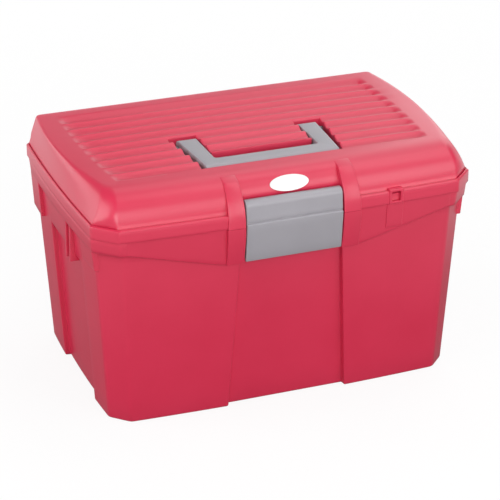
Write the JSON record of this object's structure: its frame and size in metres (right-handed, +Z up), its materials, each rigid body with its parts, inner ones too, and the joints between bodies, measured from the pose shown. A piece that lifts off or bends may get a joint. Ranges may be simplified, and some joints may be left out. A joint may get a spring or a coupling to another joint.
{
  "type": "grooming box",
  "caption": "Moulded plastic horse grooming box with a ribbed hinged lid, a fold-down carry handle, a wide front latch and a lift-out tray.",
  "frame": {"origin": "on the ground under the middle of the box", "axes": "+X to the box's right as seen from the front, +Y to the back (hinge side), +Z up"},
  "size_m": [0.4, 0.279, 0.2471],
  "materials": {
    "body_plastic": "satin",
    "grey_plastic": "satin",
    "tray_plastic": "satin",
    "badge_white": "gloss",
    "steel": "satin"
  },
  "bodies": {
    "tub_body": {"tub": "body_plastic", "hinge_pin_left": "steel", "hinge_pin_right": "steel"},
    "lid_body": {"lid": "body_plastic", "badge": "badge_white", "handle_pin_left": "steel", "handle_pin_right": "steel", "latch_pin": "steel"},
    "handle_body": {"carry_handle": "grey_plastic"},
    "latch_body": {"latch": "grey_plastic"},
    "tray_body": {"tray": "tray_plastic"}
  },
  "joints": [
    {"name": "lid_hinge", "type": "hinge", "parent": "tub_body", "child": "lid_body", "pos_m": [0, 0.135, 0.20115], "axis": [-1, 0, 0], "range_deg": [0, 100]},
    {"name": "handle_fold", "type": "hinge", "parent": "lid_body", "child": "handle_body", "pos_m": [0, -0.011, 0.2375], "axis": [-1, 0, 0], "range_deg": [0, 100]},
    {"name": "latch_swing", "type": "hinge", "parent": "lid_body", "child": "latch_body", "pos_m": [0, -0.1304, 0.2196], "axis": [-1, 0, 0], "range_deg": [0, 75]},
    {"name": "tray_lift", "type": "slide", "parent": "tub_body", "child": "tray_body", "axis": [0, 0, 1], "range_m": [0, 0.015]}
  ]
}
